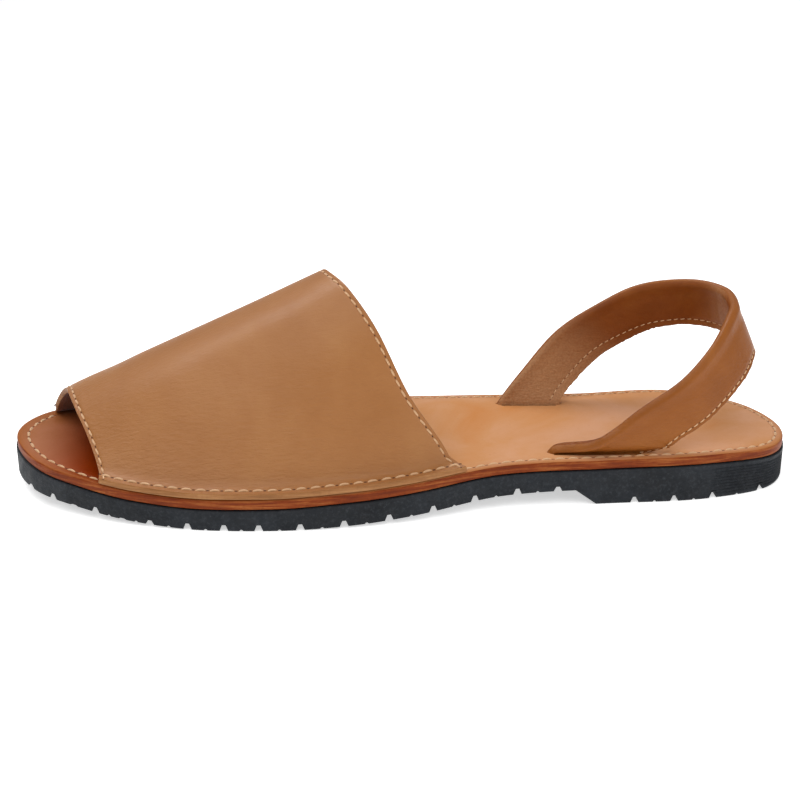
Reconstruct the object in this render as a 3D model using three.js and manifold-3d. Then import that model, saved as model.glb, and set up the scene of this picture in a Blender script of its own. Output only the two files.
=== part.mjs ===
// Avarca sandal for the left foot: rubber sole, leather insole, vamp and heel strap.
// Millimetres, +Z up. The toe points to -X, the outer side of the foot to -Y.
// The origin lies on the ground under the middle of the sandal.
import * as THREE from "three";
import { mergeVertices } from "three/addons/utils/BufferGeometryUtils.js";
import Module from "manifold-3d";

// Sole
const SOLE_LENGTH = 265;
const BALL_WIDTH = 90;
const HEEL_WIDTH = 62;
const RUBBER_THICKNESS = 7;
const TOE_SPRING = 8;
const HEEL_LIFT = 5.2;
const HEEL_BLOCK_LENGTH = 77.5;
const BREAST_RUN = 7;
const HEEL_BEVEL = 0.5;
const EDGE_CHAMFER = 0.7;
const RIB_DEPTH = 0.45;
const RIB_COUNT = 5;
const RIB_REACH = 36;

// Tread grooves across the underside
const GROOVE_DEPTH = 2;
const GROOVE_MOUTH = 2.8;
const GROOVE_FLOOR = 1.2;

// Leather parts
const INSOLE_THICKNESS = 3.3;
const INSOLE_SETBACK = 0.5;
const INSOLE_ROUNDING = 0.7;
const VAMP_THICKNESS = 1.9;
const FLANGE_WIDTH = 5;
const FLANGE_BEND = 2.5;
const INSTEP_RISE = 61;
const TOE_OPENING = 32.4;
const TOE_SWEEP = 22.4;
const THROAT_BACK = 149.2;
const THROAT_SWEEP = 44;

// Heel strap
const STRAP_WIDTH = 18;
const STRAP_THICKNESS = 3.5;
const STRAP_START = 179.5;
const STRAP_DEPTH = 70;
const STRAP_SPREAD = 59;
const STRAP_RISE = 40;

// Clearances where two pieces meet
const SEAT_GAP = 0.3;
const SLIT_CLEARANCE = 0.7;

// How finely the curved pieces are divided
const SOLE_STATIONS = 52;
const VAMP_ROWS = 14;
const VAMP_STEPS = 15;
const STRAP_STEPS = 3;
const OUTLINE_SAMPLES = 480;

// Outline: along is the share of the length from the toe, the two sides are shares of the
// ball width in the forepart and of the heel width behind it.
const FOREPART = [
  { along: 0.032, outer: 0.199, inner: 0.276 },
  { along: 0.113, outer: 0.362, inner: 0.416 },
  { along: 0.223, outer: 0.469, inner: 0.49 },
  { along: 0.362, outer: 0.506, inner: 0.489 },
  { along: 0.492, outer: 0.469, inner: 0.423 },
];
const BACKPART = [
  { along: 0.611, outer: 0.547, inner: 0.515 },
  { along: 0.741, outer: 0.527, inner: 0.476 },
  { along: 0.88, outer: 0.5, inner: 0.482 },
  { along: 0.972, outer: 0.356, inner: 0.265 },
];
const TOE_TIP = 0.025;
const HEEL_TIP = -0.078;

// Lift of the underside: shares of the toe spring and of the heel lift. Rubber: share of its
// thickness.
const PROFILE = [
  { along: 0, toe: 0.575, heel: 0, rubber: 1.353 },
  { along: 0.074, toe: 0.425, heel: 0, rubber: 1.05 },
  { along: 0.163, toe: 0.14, heel: 0, rubber: 1 },
  { along: 0.253, toe: 0, heel: 0, rubber: 1 },
  { along: 0.333, toe: 0, heel: 0, rubber: 1.03 },
  { along: 0.422, toe: 0, heel: 0.115, rubber: 1.11 },
  { along: 0.522, toe: 0, heel: 0.46, rubber: 1.1 },
  { along: 0.621, toe: 0, heel: 0.85, rubber: 1.05 },
  { along: 0.721, toe: 0, heel: 1, rubber: 1 },
  { along: 0.861, toe: 0, heel: 1, rubber: 1.04 },
  { along: 1, toe: 0, heel: 1, rubber: 0.84 },
];

// Tread grooves: share of the length, and share of the full depth.
const GROOVES = [
  { along: 0.026, depth: 0.6 },
  { along: 0.058, depth: 0.9 },
  { along: 0.086, depth: 0.6 },
  { along: 0.114, depth: 0.9 },
  { along: 0.148, depth: 0.6 },
  { along: 0.182, depth: 0.7 },
  { along: 0.228, depth: 1 },
  { along: 0.272, depth: 1 },
  { along: 0.314, depth: 1 },
  { along: 0.364, depth: 1 },
  { along: 0.417, depth: 1 },
  { along: 0.472, depth: 1 },
  { along: 0.527, depth: 1 },
  { along: 0.58, depth: 1 },
  { along: 0.634, depth: 1 },
  { along: 0.685, depth: 0.8 },
  { along: 0.783, depth: 1 },
  { along: 0.834, depth: 1 },
  { along: 0.885, depth: 1 },
  { along: 0.952, depth: 0.9 },
];

// Sections of the vamp: share of the sole length, ridge place as a share of the ball width,
// ridge height as a share of the instep rise, then the slope of each wall at its foot in
// degrees, and how far each wall and the ridge run straight, as shares of the wall's chord.
const VAMP_SECTIONS = [
  { along: 0.027, across: 0.078, rise: 0.239, outer: 30, inner: 50, wall: 0.3, crown: 0.4 },
  { along: 0.079, across: 0.072, rise: 0.352, outer: 36, inner: 58, wall: 0.32, crown: 0.4 },
  { along: 0.2, across: 0.067, rise: 0.59, outer: 50, inner: 68, wall: 0.345, crown: 0.37 },
  { along: 0.314, across: 0.061, rise: 0.815, outer: 58, inner: 74, wall: 0.365, crown: 0.35 },
  { along: 0.404, across: 0.056, rise: 0.998, outer: 62, inner: 77, wall: 0.38, crown: 0.33 },
  { along: 0.578, across: 0.044, rise: 1.334, outer: 66, inner: 80, wall: 0.4, crown: 0.31 },
];

// Front and back edge of the vamp: share of the way from the outer flange over the ridge to
// the inner flange, and how far each edge has swept forward there.
const VAMP_EDGES = [
  { over: 0, front: 0, back: 0 },
  { over: 0.06, front: 0.01, back: 0.02 },
  { over: 0.1, front: 0.07, back: 0.055 },
  { over: 0.2, front: 0.24, back: 0.36 },
  { over: 0.3, front: 0.415, back: 0.605 },
  { over: 0.4, front: 0.55, back: 0.805 },
  { over: 0.5, front: 0.66, back: 0.95 },
  { over: 0.58, front: 0.735, back: 1 },
  { over: 0.7, front: 0.84, back: 0.86 },
  { over: 0.8, front: 0.92, back: 0.67 },
  { over: 0.9, front: 0.98, back: 0.42 },
  { over: 0.94, front: 1, back: 0.36 },
  { over: 1, front: 1, back: 0.34 },
];

// Path of the strap's middle line from the inner slit round the heel to the outer slit, as
// shares of its depth, spread and rise. The band's width lies back by lay degrees from the
// horizontal and leans in by cant degrees; width is a share of the strap's width.
const STRAP_PATH = [
  { along: 0, across: 0.341, up: 0.015, lay: 0, cant: -6, width: 1.244 },
  { along: 0.1, across: 0.397, up: 0.223, lay: 15, cant: 0, width: 1.08 },
  { along: 0.26, across: 0.458, up: 0.5, lay: 34, cant: 0, width: 1.03 },
  { along: 0.45, across: 0.5, up: 0.695, lay: 50, cant: 3, width: 1 },
  { along: 0.622, across: 0.486, up: 0.857, lay: 71, cant: 6, width: 1 },
  { along: 0.838, across: 0.429, up: 0.913, lay: 89, cant: 14, width: 1 },
  { along: 0.98, across: 0.25, up: 0.901, lay: 88, cant: 15, width: 1 },
  { along: 0.988, across: 0.012, up: 0.882, lay: 74, cant: 7, width: 1 },
  { along: 0.947, across: -0.145, up: 0.842, lay: 59, cant: 0, width: 1 },
  { along: 0.842, across: -0.324, up: 0.689, lay: 48, cant: -8, width: 1 },
  { along: 0.68, across: -0.445, up: 0.459, lay: 54, cant: -8, width: 1 },
  { along: 0.514, across: -0.484, up: 0.277, lay: 48, cant: -8, width: 1 },
  { along: 0.431, across: -0.48, up: 0.172, lay: 25, cant: -8, width: 1.13 },
  { along: 0.372, across: -0.476, up: 0.122, lay: 13, cant: -7, width: 1.44 },
  { along: 0.228, across: -0.407, up: 0.03, lay: -1, cant: 4, width: 1.776 },
];

const wasm = await Module();
wasm.setup();

// A mesh geometry with merged corners, without faces that have shrunk to a line.
function closedGeometry(corners, faces) {
  const raw = new THREE.BufferGeometry();
  raw.setAttribute("position", new THREE.Float32BufferAttribute(corners.flat(), 3));
  raw.setIndex(faces.flat());
  const merged = mergeVertices(raw, 1e-3);
  const index = merged.index.array;
  const kept = [];
  for (let i = 0; i < index.length; i += 3) {
    const [a, b, c] = [index[i], index[i + 1], index[i + 2]];
    if (a !== b && b !== c && c !== a) kept.push(a, b, c);
  }
  merged.setIndex(kept);
  return merged;
}

// A closed body through rings with the same even number of corners. In each ring corner j
// faces corner (last - j), and the end caps are strips between them.
function loft(rings) {
  const size = rings[0].length;
  const faces = [];
  for (let i = 0; i + 1 < rings.length; i++) {
    for (let j = 0; j < size; j++) {
      const a = i * size + j;
      const b = i * size + ((j + 1) % size);
      faces.push([a, b, b + size], [a, b + size, a + size]);
    }
  }
  const far = (rings.length - 1) * size;
  for (let j = 0; j < size / 2 - 1; j++) {
    const k = size - 1 - j;
    faces.push([j, k, k - 1], [j, k - 1, j + 1]);
    faces.push([far + j, far + k - 1, far + k], [far + j, far + j + 1, far + k - 1]);
  }
  return closedGeometry(rings.flat(), faces);
}

function toSolid(geometry) {
  const bare = new THREE.BufferGeometry();
  bare.setAttribute("position", geometry.getAttribute("position"));
  if (geometry.index) bare.setIndex(geometry.index);
  const merged = mergeVertices(bare, 1e-3);
  const solid = new wasm.Manifold(
    new wasm.Mesh({
      numProp: 3,
      vertProperties: new Float32Array(merged.getAttribute("position").array),
      triVerts: new Uint32Array(merged.index.array),
    }),
  );
  return solid;
}

function fromSolid(solid) {
  const mesh = solid.getMesh();
  const geometry = new THREE.BufferGeometry();
  const corners = Float32Array.from(mesh.vertProperties);
  geometry.setAttribute("position", new THREE.BufferAttribute(corners, 3));
  geometry.setIndex(Array.from(mesh.triVerts));
  return geometry;
}

// A smooth curve through the rows of a table that never overshoots them.
function smoothValue(rows, key, value, at) {
  const last = rows.length - 1;
  if (at <= rows[0][key]) return rows[0][value];
  if (at >= rows[last][key]) return rows[last][value];
  const step = (i) => rows[i + 1][key] - rows[i][key];
  const secant = (i) => (rows[i + 1][value] - rows[i][value]) / step(i);
  const tangent = (i) => {
    if (i === 0) return secant(0);
    if (i === last) return secant(last - 1);
    const product = secant(i - 1) * secant(i);
    return product <= 0 ? 0 : (2 * product) / (secant(i - 1) + secant(i));
  };
  let i = 0;
  while (rows[i + 1][key] < at) i++;
  const w = (at - rows[i][key]) / step(i);
  const rise = rows[i + 1][value] - rows[i][value];
  const from = tangent(i) * step(i);
  const to = tangent(i + 1) * step(i);
  const bend = 3 * rise - 2 * from - to;
  return rows[i][value] + w * (from + w * (bend + w * (from + to - 2 * rise)));
}

// Share of the length and place on the X axis
const shareOf = (x) => x / SOLE_LENGTH + 0.5;
const placeOf = (share) => (share - 0.5) * SOLE_LENGTH;

// The outline as two branches from toe to heel, each a list of places with the normal.
function outlineBranches() {
  const sizes = [
    ...FOREPART.map((row) => ({ ...row, width: BALL_WIDTH })),
    ...BACKPART.map((row) => ({ ...row, width: HEEL_WIDTH })),
  ];
  const point = (share, y) => new THREE.Vector3(placeOf(share), y, 0);
  const corners = [
    point(0, TOE_TIP * BALL_WIDTH),
    ...sizes.map((row) => point(row.along, -row.outer * row.width)),
    point(1, HEEL_TIP * HEEL_WIDTH),
    ...sizes.map((row) => point(row.along, row.inner * row.width)).reverse(),
  ];
  const curve = new THREE.CatmullRomCurve3(corners, true, "centripetal");
  const samples = [];
  for (let i = 0; i < OUTLINE_SAMPLES; i++) {
    const tangent = curve.getTangent(i / OUTLINE_SAMPLES);
    const place = curve.getPoint(i / OUTLINE_SAMPLES);
    samples.push({ x: place.x, y: place.y, nx: tangent.y, ny: -tangent.x });
  }
  const indexOf = (better) => samples.reduce((b, s, i) => (better(s, samples[b]) ? i : b), 0);
  const toe = indexOf((a, b) => a.x < b.x);
  const heel = indexOf((a, b) => a.x > b.x);
  const walk = (from, to, step) => {
    const branch = [];
    for (let i = from; i !== to; i = (i + step + OUTLINE_SAMPLES) % OUTLINE_SAMPLES) {
      branch.push(samples[i]);
    }
    return [...branch, samples[to]];
  };
  return { outer: walk(toe, heel, 1), inner: walk(toe, heel, -1) };
}

const OUTLINE = outlineBranches();
const TOE_X = OUTLINE.outer[0].x;
const HEEL_X = OUTLINE.outer.at(-1).x;

// The outline at a place along the sole, moved outward along its normal.
function edgeAt(side, x, outward) {
  const branch = OUTLINE[side];
  const at = THREE.MathUtils.clamp(x, TOE_X, HEEL_X);
  let i = 0;
  while (i < branch.length - 2 && branch[i + 1].x < at) i++;
  const [a, b] = [branch[i], branch[i + 1]];
  const w = (at - a.x) / (b.x - a.x);
  const mix = (key) => a[key] + w * (b[key] - a[key]);
  const size = Math.hypot(mix("nx"), mix("ny"));
  return [mix("x") + (outward * mix("nx")) / size, mix("y") + (outward * mix("ny")) / size];
}

const liftAt = (x) =>
  TOE_SPRING * smoothValue(PROFILE, "along", "toe", shareOf(x)) +
  HEEL_LIFT * smoothValue(PROFILE, "along", "heel", shareOf(x));
const rubberTop = (x) =>
  liftAt(x) + RUBBER_THICKNESS * smoothValue(PROFILE, "along", "rubber", shareOf(x));
const insoleBottom = (x) => rubberTop(x) + SEAT_GAP;
const insoleTop = (x) => insoleBottom(x) + INSOLE_THICKNESS;

// The heel block reaches the ground behind its breast and rises a little at the very back.
const BREAST_FOOT = SOLE_LENGTH / 2 - HEEL_BLOCK_LENGTH + BREAST_RUN;
const BREAST_TOP = BREAST_FOOT - BREAST_RUN;
const BEVEL_START = SOLE_LENGTH / 2 - RIB_REACH / 2;
function rubberBottom(x) {
  if (x <= BREAST_TOP) return liftAt(x);
  if (x < BREAST_FOOT) return (liftAt(BREAST_TOP) * (BREAST_FOOT - x)) / BREAST_RUN;
  return HEEL_BEVEL * Math.max(0, (x - BEVEL_START) / (SOLE_LENGTH / 2 - BEVEL_START)) ** 2;
}

// Places along the sole, closer together towards both ends, with every named break kept.
function stations(breaks) {
  const even = [];
  for (let i = 0; i <= SOLE_STATIONS; i++) {
    even.push(TOE_X + ((HEEL_X - TOE_X) * (1 - Math.cos((Math.PI * i) / SOLE_STATIONS))) / 2);
  }
  const room = SOLE_LENGTH / SOLE_STATIONS / 3;
  const free = even.filter((x) => breaks.every((b) => Math.abs(b - x) > room));
  return [...free, ...breaks].sort((a, b) => a - b);
}

// A ring of the sole at a place: up its inner side, then down its outer side.
function soleRing(x, levels) {
  const side = (name) =>
    levels.map(({ outward, height }) => [...edgeAt(name, x, outward), height]);
  return [...side("inner"), ...side("outer").reverse()];
}

// The levels of the rubber's side: a chamfer at the ground and shallow ribs round the heel.
function rubberLevels(x) {
  const bottom = rubberBottom(x);
  const height = rubberTop(x) - bottom;
  const fade = THREE.MathUtils.smoothstep(x, HEEL_X - RIB_REACH, HEEL_X - RIB_REACH * 0.7);
  const levels = [
    { outward: -EDGE_CHAMFER, height: bottom },
    { outward: 0, height: bottom + EDGE_CHAMFER },
  ];
  const span = (height - EDGE_CHAMFER) / (RIB_COUNT + 1);
  for (let i = 1; i <= RIB_COUNT; i++) {
    const middle = bottom + EDGE_CHAMFER + span * i;
    levels.push({ outward: -RIB_DEPTH * fade, height: middle });
    levels.push({ outward: 0, height: middle + span / 2 });
  }
  levels.push({ outward: 0, height: bottom + height });
  return levels;
}

// One groove: a bar with slanted sides across the whole sole.
function grooveBar({ along, depth }) {
  const x = placeOf(along);
  const deep = GROOVE_DEPTH * depth;
  const slope = (rubberBottom(x + 1) - rubberBottom(x - 1)) / 2;
  const low = rubberBottom(x) - GROOVE_DEPTH;
  const flare = ((GROOVE_MOUTH - GROOVE_FLOOR) / 2) * (GROOVE_DEPTH / deep);
  const shape = new THREE.Shape();
  shape.moveTo(-GROOVE_MOUTH / 2 - flare, 0);
  shape.lineTo(GROOVE_MOUTH / 2 + flare, 0);
  shape.lineTo(GROOVE_FLOOR / 2, GROOVE_DEPTH + deep);
  shape.lineTo(-GROOVE_FLOOR / 2, GROOVE_DEPTH + deep);
  shape.closePath();
  const reach = BALL_WIDTH + HEEL_WIDTH;
  const bar = new THREE.ExtrudeGeometry(shape, { depth: reach, bevelEnabled: false });
  bar.translate(0, 0, -reach / 2);
  bar.rotateX(Math.PI / 2);
  bar.rotateY(-Math.atan(slope));
  bar.translate(x, 0, low);
  return toSolid(bar);
}

function outsoleGeometry() {
  const breaks = [BREAST_TOP, BREAST_FOOT];
  const rings = stations(breaks).map((x) => soleRing(x, rubberLevels(x)));
  const grooves = GROOVES.map(grooveBar);
  return fromSolid(grooves.reduce((body, bar) => body.subtract(bar), toSolid(loft(rings))));
}

// The strap: its middle line with the direction of its width, as evenly spaced knots.
const DEGREE = Math.PI / 180;
function strapKnots() {
  const knots = STRAP_PATH.map((row) => {
    const x = STRAP_START - SOLE_LENGTH / 2 + row.along * STRAP_DEPTH;
    return {
      x,
      y: row.across * STRAP_SPREAD,
      z: insoleTop(x) + row.up * STRAP_RISE,
      lay: row.lay * DEGREE,
      cant: row.cant * DEGREE,
      width: row.width * STRAP_WIDTH,
    };
  });
  const foot = (knot) => {
    const ends = [knot.x - knot.width / 2, knot.x + knot.width / 2];
    return { ...knot, lay: 0, z: Math.max(...ends.map(insoleBottom)) + SEAT_GAP / 2 };
  };
  return [foot(knots[0]), ...knots, foot(knots.at(-1))];
}

// A cubic through four values, from the second to the third.
function blend4(p0, p1, p2, p3, w) {
  const square = 2 * p0 - 5 * p1 + 4 * p2 - p3;
  const cube = 3 * p1 - p0 - 3 * p2 + p3;
  return (2 * p1 + (p2 - p0) * w + square * w * w + cube * w ** 3) / 2;
}

function strapStations() {
  const knots = strapKnots();
  const last = knots.length - 1;
  const knot = (i, key) => {
    if (i < 0) return 2 * knots[0][key] - knots[1][key];
    if (i > last) return 2 * knots[last][key] - knots[last - 1][key];
    return knots[i][key];
  };
  const out = [];
  for (let i = 0; i < last; i++) {
    const steps = i === 0 || i === last - 1 ? 1 : STRAP_STEPS;
    for (let k = 0; k < steps; k++) {
      const at = (key) => blend4(...[-1, 0, 1, 2].map((d) => knot(i + d, key)), k / steps);
      out.push(Object.fromEntries(Object.keys(knots[0]).map((key) => [key, at(key)])));
    }
  }
  return [...out, knots[last]];
}

// Section of the band in its own width and thickness: a raw lower edge and a round fold.
function strapProfile(width) {
  const half = STRAP_THICKNESS / 2;
  const outer = [
    [-width / 2, half * 0.6],
    [-width / 2 + half * 0.4, half],
    [0, half * 1.05],
    [width / 2 - half * 1.4, half],
    [width / 2 - half * 0.4, half * 0.75],
    [width / 2, half * 0.25],
  ];
  return [...outer, ...outer.map(([w, n]) => [w, -n]).reverse()];
}

function strapGeometry() {
  const places = strapStations();
  const rings = places.map((place, i) => {
    const before = places[Math.max(i - 1, 0)];
    const after = places[Math.min(i + 1, places.length - 1)];
    const path = new THREE.Vector3(after.x - before.x, after.y - before.y, after.z - before.z);
    const lying = new THREE.Vector3(-Math.cos(place.lay), 0, Math.sin(place.lay));
    const outward = new THREE.Vector3().crossVectors(lying, path).normalize();
    const wide = lying.multiplyScalar(Math.cos(place.cant));
    wide.addScaledVector(outward, -Math.sin(place.cant));
    const thick = new THREE.Vector3().crossVectors(wide, path).normalize();
    return strapProfile(place.width).map(([w, n]) => [
      place.x + w * wide.x + n * thick.x,
      place.y + w * wide.y + n * thick.y,
      place.z + w * wide.z + n * thick.z,
    ]);
  });
  return loft(rings);
}

// The slit that an end of the strap passes through.
function slitCutter(knot, side) {
  const length = knot.width + 2 * SLIT_CLEARANCE;
  const width = STRAP_THICKNESS * 1.05 + 2 * SLIT_CLEARANCE;
  const height = 3 * INSOLE_THICKNESS;
  const slot = new THREE.BoxGeometry(length, width, height);
  slot.rotateZ(side * knot.cant);
  slot.translate(knot.x, knot.y, insoleTop(knot.x));
  return toSolid(slot);
}

function insoleGeometry() {
  const rings = stations([]).map((x) => {
    const high = insoleTop(x);
    return soleRing(x, [
      { outward: -INSOLE_SETBACK, height: insoleBottom(x) },
      { outward: -INSOLE_SETBACK, height: high - INSOLE_ROUNDING },
      { outward: -INSOLE_SETBACK - INSOLE_ROUNDING, height: high },
    ]);
  });
  const knots = strapKnots();
  const slits = [slitCutter(knots[1], 1), slitCutter(knots.at(-2), -1)];
  return fromSolid(slits.reduce((body, slit) => body.subtract(slit), toSolid(loft(rings))));
}

// A place on the outer face of the vamp: station x, and share over from the outer flange
// across the ridge to the inner flange.
const FLANGE_SHARE = 0.12;
const BEND_SHARE = 0.2;
function vampPoint(x, over) {
  const section = (key) => smoothValue(VAMP_SECTIONS, "along", key, shareOf(x));
  const side = over < 0.5 ? -1 : 1;
  const name = side < 0 ? "outer" : "inner";
  const climb = 2 * Math.min(over, 1 - over);
  const deck = insoleTop(x) + SEAT_GAP + VAMP_THICKNESS;
  const rim = edgeAt(name, x, -INSOLE_SETBACK)[1];
  const foot = rim - side * FLANGE_WIDTH;
  const slope = section(name) * DEGREE;
  const wall = [-side * Math.cos(slope), Math.sin(slope)];
  const ridge = [section("across") * BALL_WIDTH, ballDeck() + section("rise") * INSTEP_RISE];
  const chord = Math.hypot(ridge[0] - foot, ridge[1] - deck);
  const start = [foot + FLANGE_BEND * wall[0], deck + FLANGE_BEND * wall[1]];
  const mix = (points, weights) =>
    [0, 1].map((axis) => points.reduce((sum, p, i) => sum + p[axis] * weights[i], 0));
  if (climb <= FLANGE_SHARE) {
    const inward = (FLANGE_WIDTH - FLANGE_BEND) * (climb / FLANGE_SHARE);
    return new THREE.Vector3(x, rim - side * inward, deck);
  }
  if (climb < BEND_SHARE) {
    const t = (climb - FLANGE_SHARE) / (BEND_SHARE - FLANGE_SHARE);
    const points = [[foot + side * FLANGE_BEND, deck], [foot, deck], start];
    return new THREE.Vector3(x, ...mix(points, [(1 - t) ** 2, 2 * t * (1 - t), t * t]));
  }
  const t = (climb - BEND_SHARE) / (1 - BEND_SHARE);
  const reach = section("wall") * chord;
  const crown = section("crown") * chord;
  const points = [
    start,
    [start[0] + reach * wall[0], start[1] + reach * wall[1]],
    [ridge[0] + side * crown, ridge[1]],
    ridge,
  ];
  const weights = [(1 - t) ** 3, 3 * t * (1 - t) ** 2, 3 * t * t * (1 - t), t ** 3];
  return new THREE.Vector3(x, ...mix(points, weights));
}

// Height of the insole under the ball of the foot
function ballDeck() {
  return RUBBER_THICKNESS + SEAT_GAP + INSOLE_THICKNESS;
}

const FRONT_X = TOE_OPENING - SOLE_LENGTH / 2;
const BACK_X = THROAT_BACK - SOLE_LENGTH / 2;
function vampPlace(down, over) {
  const front = FRONT_X - TOE_SWEEP * smoothValue(VAMP_EDGES, "over", "front", over);
  const back = BACK_X - THROAT_SWEEP * smoothValue(VAMP_EDGES, "over", "back", over);
  return vampPoint(front + (back - front) * down, over);
}

function vampNormal(down, over) {
  const near = 0.004;
  const clamp = (share) => THREE.MathUtils.clamp(share, 0, 1);
  const along = vampPlace(clamp(down + near), over).sub(vampPlace(clamp(down - near), over));
  const around = vampPlace(down, clamp(over + near)).sub(vampPlace(down, clamp(over - near)));
  return along.cross(around).normalize();
}

// Shares over the vamp: few on the flanges, close in the bends, even on the walls.
function vampShares() {
  const half = [0, FLANGE_SHARE, (FLANGE_SHARE + BEND_SHARE) / 2, BEND_SHARE].map((s) => s / 2);
  const start = BEND_SHARE / 2;
  const wall = [];
  for (let i = 1; i <= VAMP_STEPS; i++) {
    wall.push(start + ((0.5 - start) * i) / VAMP_STEPS);
  }
  const outer = [...half, ...wall];
  const inner = outer.slice(0, -1).map((share) => 1 - share);
  return [...outer, ...inner.reverse()];
}

function vampGeometry() {
  const shares = vampShares();
  const rings = [];
  for (let i = 0; i <= VAMP_ROWS; i++) {
    const down = i / VAMP_ROWS;
    const outside = shares.map((over) => vampPlace(down, over));
    const inside = shares.map((over, j) =>
      outside[j].clone().addScaledVector(vampNormal(down, over), -VAMP_THICKNESS),
    );
    rings.push([...outside.reverse(), ...inside].map((p) => p.toArray()));
  }
  return loft(rings);
}

function named(name, geometry, colour, roughness) {
  const material = new THREE.MeshStandardMaterial({ color: colour, roughness, metalness: 0 });
  geometry.computeVertexNormals();
  const mesh = new THREE.Mesh(geometry, material);
  mesh.name = name;
  return mesh;
}

const sandal = new THREE.Group();
sandal.add(named("outsole", outsoleGeometry(), "#33383d", 0.75));
sandal.add(named("insole", insoleGeometry(), "#cd9155", 0.45));
sandal.add(named("vamp", vampGeometry(), "#ac764c", 0.5));
sandal.add(named("heel_strap", strapGeometry(), "#aa6e41", 0.5));

const bounds = new THREE.Box3().setFromObject(sandal);
const middle = bounds.getCenter(new THREE.Vector3());
sandal.position.set(-middle.x, -middle.y, -bounds.min.z);

export default sandal;
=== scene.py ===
import math

import bmesh
import bpy
import numpy as np
from mathutils import Matrix, Vector

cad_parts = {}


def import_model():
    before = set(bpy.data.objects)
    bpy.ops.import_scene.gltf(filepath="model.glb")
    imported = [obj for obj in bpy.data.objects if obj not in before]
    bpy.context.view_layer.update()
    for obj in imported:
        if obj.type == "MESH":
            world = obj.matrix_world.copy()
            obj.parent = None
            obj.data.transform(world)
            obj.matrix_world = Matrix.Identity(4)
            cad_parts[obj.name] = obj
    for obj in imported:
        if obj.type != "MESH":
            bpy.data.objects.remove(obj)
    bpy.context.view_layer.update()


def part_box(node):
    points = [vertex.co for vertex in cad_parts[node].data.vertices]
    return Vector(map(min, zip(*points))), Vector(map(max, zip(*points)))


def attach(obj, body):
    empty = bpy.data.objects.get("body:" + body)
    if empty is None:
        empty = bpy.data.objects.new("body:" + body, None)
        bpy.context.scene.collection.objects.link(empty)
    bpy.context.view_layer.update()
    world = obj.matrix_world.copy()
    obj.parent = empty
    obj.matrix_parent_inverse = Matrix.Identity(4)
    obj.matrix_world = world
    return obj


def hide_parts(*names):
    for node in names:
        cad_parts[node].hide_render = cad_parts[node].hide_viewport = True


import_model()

# Avarca sandal for the left foot. Lengths are in millimetres until a mesh is made.
# Sole
SOLE_LENGTH = 265
BALL_WIDTH = 90
HEEL_WIDTH = 62
RUBBER_THICKNESS = 7
TOE_SPRING = 8
HEEL_LIFT = 5.2
HEEL_BLOCK_LENGTH = 77.5
BREAST_RUN = 7
HEEL_BEVEL = 0.5
EDGE_CHAMFER = 0.7
RIB_DEPTH = 0.4
RIB_COUNT = 9
RIB_REACH = 36

# Tread
GROOVE_DEPTH = 2
GROOVE_MOUTH = 2.8
GROOVE_FLOOR = 1.2
NICK_DEPTH = 0.45
NICK_MOUTH = 1.3
NICK_FLOOR = 0.4

# Leather parts
INSOLE_THICKNESS = 3.3
INSOLE_SETBACK = 0.5
INSOLE_ROUNDING = 0.9
VAMP_THICKNESS = 1.9
VAMP_ROUNDING = 0.35
FLANGE_WIDTH = 5
FLANGE_BEND = 2.5
INSTEP_RISE = 61
TOE_OPENING = 32.4
TOE_SWEEP = 22.4
THROAT_BACK = 149.2
THROAT_SWEEP = 44
STRAP_WIDTH = 18
STRAP_THICKNESS = 3.5
STRAP_START = 179.5
STRAP_DEPTH = 70
STRAP_SPREAD = 59
STRAP_RISE = 40
SEAT_GAP = 0.3
SLIT_CLEARANCE = 0.7

# Fine shape of the rubber
RIB_FADE = 0.7
RIB_START = 1.6 * EDGE_CHAMFER
RIB_END = 1.2
RUBBER_ROUNDING = 0.45
NICK_ROOM = 9
CUT_MARGIN = 0.5
LEAST_STEP_UP = 0.01

# Section of the strap: bead along the fold, crease under it, pinch at the seams
STRAP_EDGE_SHARE = 0.88
STRAP_BULGE = 0.1
STRAP_EDGE_THINNING = 0.93
FOLD_REACH = 1.15
FOLD_DEPTH = 2.0
BEAD = {"swell": 0.3, "below_fold": 1.7, "width": 1.5}
CREASE = {"swell": -0.12, "below_fold": 5.2, "width": 1.3}
PINCH = {"swell": -0.3, "width": 0.8}
RAW_UNEVENNESS = 0.09
PLIES = {"inner": 0.12, "outer": 0.1, "furrow": 0.5, "apart": 0.5}
HEEL_BEND = {"place": 6.4, "width": 0.9, "ripple": 0.16, "turn": 2.1}

# Worn places: along the run of the strap from one slit to the other, and over its raw edge
WORN_FOOT = {"share": 0.75, "start": 1.2, "end": 3.2}
WORN_BEND = {"share": 0.45, "place": 6.3, "width": 0.5}
STRAP_RIM_FADE = 0.7

# Slits, edge and toe of the insole
SLIT_FULLNESS = 1.05
SLIT_ROUNDING = 0.42
INSOLE_UNDERCUT = 0.3
CHANNEL_MARGIN = 1.5
INSOLE_RIM = {"share": 0.8, "fade": 1.6}
# Toe mark: the leather's deeper colour at the toe, and painted shade under the vamp where the mark
# is strongest
TOE_DYE_AND_SHADE = {"tip": 0.55, "rise": 0.45, "risen": (4, 30), "gone": (60, 130)}
FAR_FROM_RIM = -30.0

# Cut edge and flanges of the vamp
VAMP_RIM_FADE = 1.3
VAMP_MARGIN = 5
NEAR_EDGE = np.array([0.12, 0.35, 0.8, 1.25, 1.55, 1.8, 2.05, 2.35, 2.8, 3.6])
FLANGE_COLUMNS = [0, 0, 0.02, 0.05, 0.085]
FIRST_COLUMN = 0.004

# Swells and hollows of the vamp: height, place and reach along and across it
SWELLS = (
    (0.35, 0.32, 0.12, 0.3, 0.09),
    (-0.3, 0.62, 0.1, 0.27, 0.07),
    (0.25, 0.82, 0.1, 0.36, 0.08),
    (-0.3, 0.2, 0.07, 0.55, 0.08),
)

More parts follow.
